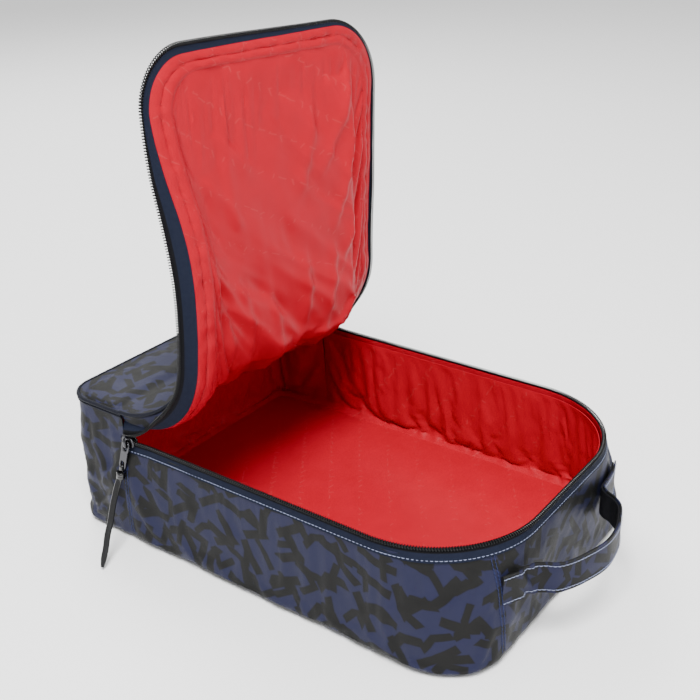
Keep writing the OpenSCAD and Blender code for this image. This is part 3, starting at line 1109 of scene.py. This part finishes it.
teeth = Ring(131.5, 131.5, lid_l, 42, 62, (20, 8, 10, 14, 15, 11, 5, 2, 1), (22, 3, -3, -3, -1, 0, 1, 2, 2))
border = Ring(121.5, 128.0, lid_l - 6.8, 38, 58, (8, 17, 19, 23, 24, 20, 12, 5, 2),
              (8, 0, -4, -5, -3, -1, 0, 3, 5), 6, 6, 4)
hemmed = Ring(105, 112, lid_l - 19, 30, 46, (8, 18, 21, 25, 26, 22, 14, 7, 4),
              (9, 4, 0, -1, 1, 2, 3, 6, 8), 4.5, 0, 3)
outer = Ring(119, 124, lid_l - 16, 34, 54, (0, 3, 5, 6, 6, 5, 2, -1, -2),
             (0, -3, -6, -8, -8, -6, -4, -3, -2), 3, 12)

PARTS = ("lower_near", "upper", "lower_far")


def on_lid(obj, part):
    if part == "upper":
        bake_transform(obj)
    else:
        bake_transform(obj)


def ring_point(ring, part, u):
    if part == "upper":
        return ring.at(u)
    near = part == "lower_near"
    return ring.low(u if near else 1 - u, near)


def strip(name, first, second, part, across, size, material, slot, shape=None, thick=0.7, mesh=3.0, free=None):
    """A strip of cloth between two lines round the lid. shape(u, v, l) gives extra (out, deep) in mm."""
    run = 830 if part == "upper" else lid_mid

    def place(u, v):
        la, ya, da, oa = ring_point(first, part, u)
        lb, yb, db, ob = ring_point(second, part, u)
        l, y, d = mix(la, lb, v), mix(ya, yb, v), mix(da, db, v)
        if shape:
            away, deep = shape(u * run, v, l)
            l += oa[0] * away
            y += oa[1] * away
            d += deep
        return lid_point(l, y, d)

    piece = cloth(name + "_" + part, max(12, int(run / mesh)), across, place, (run, size), material, slot,
                  thick=thick, free=free)
    on_lid(piece, part)
    return piece


def tape_shape(s, v, l):
    return 0.5 * math.sin(math.pi * v) + 0.3 * ripple(s, v * 6, 20, 80), -0.6 * math.sin(math.pi * v)


def facing_shape(s, v, l):
    pucker = 0.45 * math.sin(s / 2.6 + 3 * ripple(s, 0, 15, 90)) * math.exp(-((v - 0.5) / 0.2) ** 2)
    uneven = 1 + 1.1 * ripple(s, 3, 21, 93)
    roll = 1.0 * abs(math.sin(2 * math.pi * v)) ** 0.7 * mix(0.8, 1.6, v) * uneven
    deep = roll + pucker + 1.3 * ripple(s, v * 8, 16, 91) * math.sin(math.pi * v)
    return 0.5 * math.sin(math.pi * v) * ripple(s, 8, 13, 94), deep


def band_shape(s, v, l):
    belly = math.sin(math.pi * v)
    return (0.6 + 0.9 * ripple(s, v * 18, 24, 95)) * belly, -1.5 * belly + 0.8 * belly * ripple(s, v * 18, 18, 97)


def steps_of(part):
    return 330 if part == "upper" else 24


def ring_line(ring, part, away=0.0, deep=0.0):
    """A line along a ring, away mm outside it and deep mm towards the lining."""
    def at(t):
        l, y, d, out = ring_point(ring, part, t)
        return lid_point(l + out[0] * away, y + out[1] * away, d + deep), lid_out(l, out[0], out[1])
    return traced(steps_of(part), at)


def facing_line(part):
    """A line down the middle of the facing, on its lining side."""
    def at(t):
        la, ya, da, _ = ring_point(border, part, t)
        lb, yb, db, _ = ring_point(hemmed, part, t)
        return lid_point(mix(la, lb, 0.5), mix(ya, yb, 0.5), mix(da, db, 0.5) + 0.35), lid_out(la, 0, 0, 1.0)
    return traced(steps_of(part), at)


for part in PARTS:
    node = "lid_" if part == "upper" else "fold_"
    strip("lid_tape", teeth, border, part, 6, 12.5, tape_cloth, "zip_tape", tape_shape, 0.7, 2.6)
    strip("lid_facing", border, hemmed, part, 12, 17, red_deep, "facing", facing_shape, 0.6, 1.9)
    strip("lid_band", outer, border, part, 10, 22, printed, "printed_fabric", band_shape, 0.9, 3.0)
    teeth_coil = coil("lid_zip_coil_" + part, *ring_line(teeth, part))
    lid_piping = bead("lid_piping_cord_" + part, *ring_line(outer, part, 0.8, -0.6), piping_r, piping_cloth,
                      "piping")
    on_lid(teeth_coil, part)
    on_lid(lid_piping, part)
    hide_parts(node + "zip_coil")
    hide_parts(node + "piping")
    on_lid(stitches("lid_facing_stitches_" + part, *facing_line(part), red_thread, slot="facing"), part)


def inside_ring(ring, part, u, v):
    """A point within a line round the lid: u up the lid, v across it."""
    y = -math.cos(math.pi * v)
    y = y * (ring.half_near if y < 0 else ring.half_far)
    if part == "lower":
        l = lid_mid * u
        top = lid_mid
    else:
        top = ring.top
        half, r = (ring.half(ring.top - ring.r_near, True), ring.r_near) if y < 0 else (ring.half_far, ring.r_far)
        past = abs(y) - (half - r)
        if past > 0:
            top -= r - math.sqrt(max(0.0, r * r - min(past, r) ** 2))
        top = ring.fallen(top, y)
        l = mix(lid_mid, top, u)
    flare = ring.half(l, True) / ring.half_near if y < 0 else ring.half(l, False) / ring.half_far
    return l, y * flare, ring.depth(l, y), top


# Long folds in the lid's lining: (y, l) of both ends, height, width
LINING_FOLDS = ((-94, 262, -34, 214, 3.4, 8), (-92, 226, -48, 176, 2.8, 8), (-30, 286, 24, 238, 2.4, 9),
                (92, 282, 44, 196, 3.4, 8), (88, 246, 62, 150, 3.6, 7), (40, 284, 16, 180, 2.6, 9),
                (100, 190, 74, 118, 3.4, 7), (-86, 128, -74, 62, 4.0, 7), (-58, 138, -50, 58, 3.6, 7),
                (-22, 120, -16, 52, 3.4, 8), (22, 128, 12, 56, 3.6, 8), (58, 126, 40, 56, 3.8, 8),
                (92, 110, 74, 54, 3.8, 7))


def lining_place(part):
    def place(u, v):
        l, y, d, top = inside_ring(hemmed, part, u, v)
        half = hemmed.half_near
        edge = min((half - abs(y)) / 22, (top - l) / 30 if part == "upper" else 9.0)
        edge = smooth(min(1.0, max(0.0, edge)))
        middle = mix(10.0, 13.0, smooth(l / 200)) * (1 - 0.35 * smooth((l - 220) / 90))
        lean = 3.0 * math.sin(y / 60.0)
        low = smooth((190 - l) / 150)
        gutter = (drapes(y, l, LINING_FOLDS) - 8.0 * bump(min(half + 6 - y, 60), 13, 8)
                  - 2.5 * bump(min(half + y, 60), 9, 6))
        drape = (gutter + mix(3.6, 6.0, low) * ripple(y + mix(0.5, 0.1, low) * l, l * 0.2, 30, 101)
                 + mix(2.6, 4.6, low) * (0.5 - abs(ripple(y + mix(0.8, 0.2, low) * l, l * 0.25, 25, 103)) * 2.0)
                 + mix(0.7, 1.4, low) * ripple(y + 0.4 * l, l * 0.4, 12, 105))
        start = smooth(l / 40)
        return lid_point(l, y, mix(d, middle + lean, edge) + drape * edge * start)
    return place


for part in ("lower", "upper"):
    node = "lid_" if part == "upper" else "fold_"
    run = lid_mid if part == "lower" else lid_l - 22 - lid_mid
    lining = cloth("lid_satin_" + part, 20 if part == "lower" else 130, 110, lining_place(part), (run, 214), red,
                   "lining", thick=0.5, free=(0.035, 6.0, 0.0, 1.3, "LRBT"))
    on_lid(lining, part)
    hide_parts(node + "lining", node + "foam")


def cover_place(part):
    def place(u, v):
        l, y, d, top = inside_ring(outer, part, u, v)
        half = outer.half_near
        edge = smooth(min(1.0, min((half - abs(y)) / 30, (top - l) / 30 if part == "upper" else 9.0)))
        puff = -2.2 * edge * smooth(l / 40) + edge * smooth(l / 50) * (
            2.0 * ripple(y, l, 48, 111) + 1.2 * (0.5 - abs(ripple(y + l, l - 0.5 * y, 30, 113)) * 1.6))
        return lid_point(l, y, d + puff)
    return place


for part in ("lower", "upper"):
    node = "lid_" if part == "upper" else "fold_"
    run = lid_mid if part == "lower" else lid_l - 18 - lid_mid
    cover = cloth("lid_cloth_" + part, 16 if part == "lower" else 90, 84, cover_place(part), (run, 252), printed,
                  "printed_fabric", thick=1.0, flip=True)
    on_lid(cover, part)
    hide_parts(*[node + word for word in ("panel", "band", "facing", "zip_tape")])

# ---------------------------------------------------------------- slider and puller

slider_mid = Vector((slider_x, (slider_box[0][1] + slider_box[1][1]) / 2 / MM, rim_z))


def slab(name, outline, low, high, ease, material, slot, turn=None, at=Vector((0, 0, 0))):
    """A plate cut from an outline of (x, y) points between two heights, with its edges eased."""
    nothing_selected()
    bpy.ops.mesh.primitive_circle_add(vertices=len(outline), radius=1, fill_type="NGON")
    obj = bpy.context.object
    for vertex, (x, y) in zip(obj.data.vertices, outline):
        vertex.co = Vector((x, y, low)) * MM
    apply_modifier(obj, "SOLIDIFY", thickness=(high - low) * MM, offset=1.0)
    zs = [v.co.z for v in obj.data.vertices]
    for vertex in obj.data.vertices:
        vertex.co.z += low * MM - min(zs)
    apply_modifier(obj, "BEVEL", width=ease * MM, segments=3, limit_method="ANGLE")
    if turn is not None:
        for vertex in obj.data.vertices:
            vertex.co = turn @ vertex.co + at * MM
    face_outwards(obj)
    bpy.ops.object.shade_smooth_by_angle(angle=METAL_ANGLE)
    return dress(obj, name, material, slot)


def oval(length, width, narrow=1.0, sides=28):
    points = []
    for k in range(sides):
        a = 2 * math.pi * k / sides
        c, s = math.cos(a), math.sin(a)
        x = length / 2 * math.copysign(abs(c) ** 0.7, c)
        points.append((x, width / 2 * math.copysign(abs(s) ** 0.7, s) * mix(1.0, narrow, (c + 1) / 2)))
    return points


# The plates stand upright against the zip: x runs along it, y up it, z out of it
upright_turn = Matrix(((1, 0, 0), (0, 0, -1), (0, 1, 0)))
plates = [
    slab("plate", oval(13, 11, 0.72), 1.5, 2.9, 0.45, gunmetal, None, upright_turn, slider_mid),
    slab("plate", oval(12, 10, 0.72), -2.9, -1.5, 0.45, gunmetal, None, upright_turn, slider_mid),
    slab("neck", oval(3.4, 3.4), -2.2, 2.2, 0.2, gunmetal, None, upright_turn, slider_mid + Vector((-4.4, 0, 0))),
]
slider_body = joined("slider_plates", plates)
fixed(slider_body, "slider", "zip_slider")
bridge_route = [Vector(p) + slider_mid for p in (
    (0, -2.4, 4.4), (0, -4.6, 4.2), (0, -6.3, 2.4), (0, -6.5, 0), (0, -6.3, -2.4), (0, -4.6, -4.2), (0, -2.4, -4.4))]
bridge = tube("slider_bridge_loop", route_frames(bridge_route, 26, Vector((1, 0, 0))), flat_section(3.2, 1.1, 0.3),
              gunmetal, "slider_metal")
fixed(bridge, "slider", "slider_bridge")

puller_top, puller_end = bar, low_bar
puller_run = (puller_end - puller_top).normalized()
puller_side = Vector((0.93, -0.05, 0.34))
puller_side = (puller_side - puller_run * puller_side.dot(puller_run)).normalized()
puller_face = puller_run.cross(puller_side)
span = (puller_end - puller_top).length


def rounded(w, h, r, steps=6):
    points = []
    for cx, cy, start in ((w / 2 - r, h / 2 - r, 0), (-w / 2 + r, h / 2 - r, 1), (-w / 2 + r, -h / 2 + r, 2),
                          (w / 2 - r, -h / 2 + r, 3)):
        for k in range(steps + 1):
            a = (start + k / steps) * QUARTER
            points.append((cx + r * math.cos(a), cy + r * math.sin(a)))
    return points


def loop_plate(name, w, h, r, hole_w, hole_h, hole_r, centre, thick, ease, hole_y=0.0):
    """A flat link: a rounded plate with a rounded slot through it."""
    rim, hole = rounded(w, h, r), [(x, y + hole_y) for x, y in rounded(hole_w, hole_h, hole_r)]
    count = len(rim)
    loops = [(rim, -thick / 2), (rim, thick / 2), (hole, thick / 2), (hole, -thick / 2)]

    def place(u, v):
        k = int(round(u * count)) % count
        j = int(round(v * 4)) % 4
        shape, z = loops[j]
        x, y = shape[k]
        return centre + puller_side * x + puller_run * y + puller_face * z

    obj = cloth(name, count, 4, place, (w, h), gunmetal, None, thick=0, closed=True)
    apply_modifier(obj, "BEVEL", width=ease * MM, segments=2, limit_method="ANGLE")
    face_outwards(obj)
    bpy.ops.object.shade_smooth_by_angle(angle=METAL_ANGLE)
    return obj


link_t, link_bar = 1.6, 1.7
upper_l = 10.0
lower_l = span + link_bar - upper_l + 1.5
slot_l = 6.0
upper_link = loop_plate("link", 8.6, upper_l, 2.4, 5.0, upper_l - 2 * link_bar, 1.8,
                        puller_top + puller_run * (upper_l - link_bar) / 2, link_t, 0.35)
lower_link = loop_plate("link", 7.6, lower_l, 2.2, 4.2, slot_l, 1.5,
                        puller_end - puller_run * (lower_l - link_bar) / 2, link_t, 0.35,
                        hole_y=lower_l / 2 - link_bar - slot_l / 2)
puller = joined("puller_links", [upper_link, lower_link])
fixed(puller, "puller", "puller")

# ---------------------------------------------------------------- the grab handle

handle_route = [Vector((x, y, 58.0)) for x, y in (
    (190.5, -90), (196, -77), (199, -66), (205, -59), (213, -54), (219, -45), (224, -33), (228.5, -18), (230, -3),
    (228.5, 13), (224, 27), (218, 38), (210.5, 44.5), (203, 48), (198.5, 54), (197.5, 65), (195.5, 78), (191.5, 90))]
handle_steps = 130
handle_line = route_frames(handle_route, handle_steps + 1, Vector((0, 0, 1)))


def strap_place(shift, width):
    def place(u, v):
        point, up, face = handle_line[int(round(u * handle_steps))]
        s = u * 260
        kink = 1.3 * bump(s, 26, 10) * math.sin(v * 9 + s / 2.5) + 0.35 * bump(s, 232, 14) * math.sin(v * 5 + s / 6)
        wave = 0.5 * ripple(s, v * 25, 18, 120)
        droop = -1.6 * math.sin(math.pi * u)
        return point + up * ((v - 0.5) * width + droop) + face * (shift + kink + wave)
    return place


strap_out = cloth("handle_strap_cloth", handle_steps, 16, strap_place(0.7, strap_w), (262, strap_w), printed,
                  "printed_fabric", thick=1.2)
strap_in = cloth("handle_webbing_cloth", handle_steps, 12, strap_place(-0.9, strap_w - 3), (262, strap_w - 3),
                 webbing_cloth, "webbing", thick=1.2)
strap_shape = strap_place(0.7, strap_w)
sewn_end, free_start = (0.1915, 0, 0.058), (0.203, 0, 0.058)
for name, v in (("upper", 0.90), ("lower", 0.10)):
    outs = [face for _, _, face in handle_line]
    line = [strap_shape(i / handle_steps, v) + face * 0.35 for i, face in enumerate(outs)]
    row = stitches("handle_stitches_" + name, line, outs, blue_thread, slot="printed_fabric")
    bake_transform(row)
    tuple(sewn_end)
    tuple(free_start)
for piece, node in ((strap_out, "handle_strap"), (strap_in, "handle_webbing")):
    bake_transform(piece)
    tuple(sewn_end)
    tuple(free_start)
    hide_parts(node)
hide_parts("handle_tabs")

# ---------------------------------------------------------------- floor, light and finish


def studio_floor():
    nothing_selected()
    bpy.ops.mesh.primitive_grid_add(x_subdivisions=2, y_subdivisions=2, size=12)
    floor = bpy.context.object
    floor.name = "studio_floor"
    n = Nodes("studio_white")
    floor.data.materials.append(n.finish(Base_Color=(0.97, 0.97, 0.97), Roughness=0.85, Specular_IOR_Level=0.1))


studio_floor()


def lamp(name, place, aim, size, power):
    nothing_selected()
    bpy.ops.object.light_add(type="AREA")
    light = bpy.context.object
    light.name = name
    light.data.shape = "DISK"
    light.data.size = size
    light.data.energy = power
    way = (Vector(aim) - Vector(place)).normalized()
    light.matrix_world = Matrix.Translation(Vector(place)) @ way.to_track_quat("-Z", "Y").to_matrix().to_4x4()


lamp("key_light", (0.5, -0.9, 2.1), (0, 0, 0.1), 1.0, 105)
lamp("fill_light", (1.9, 0.3, 1.0), (0, 0, 0.2), 1.2, 9)
lamp("back_light", (-1.5, 0.9, 1.7), (0, 0, 0.2), 1.2, 38)
world = bpy.data.worlds.new("studio_sky")
world.use_nodes = True
world.node_tree.nodes["Background"].inputs[0].default_value = (1, 1, 1, 1)
world.node_tree.nodes["Background"].inputs[1].default_value = 0.85
bpy.context.scene.world = world
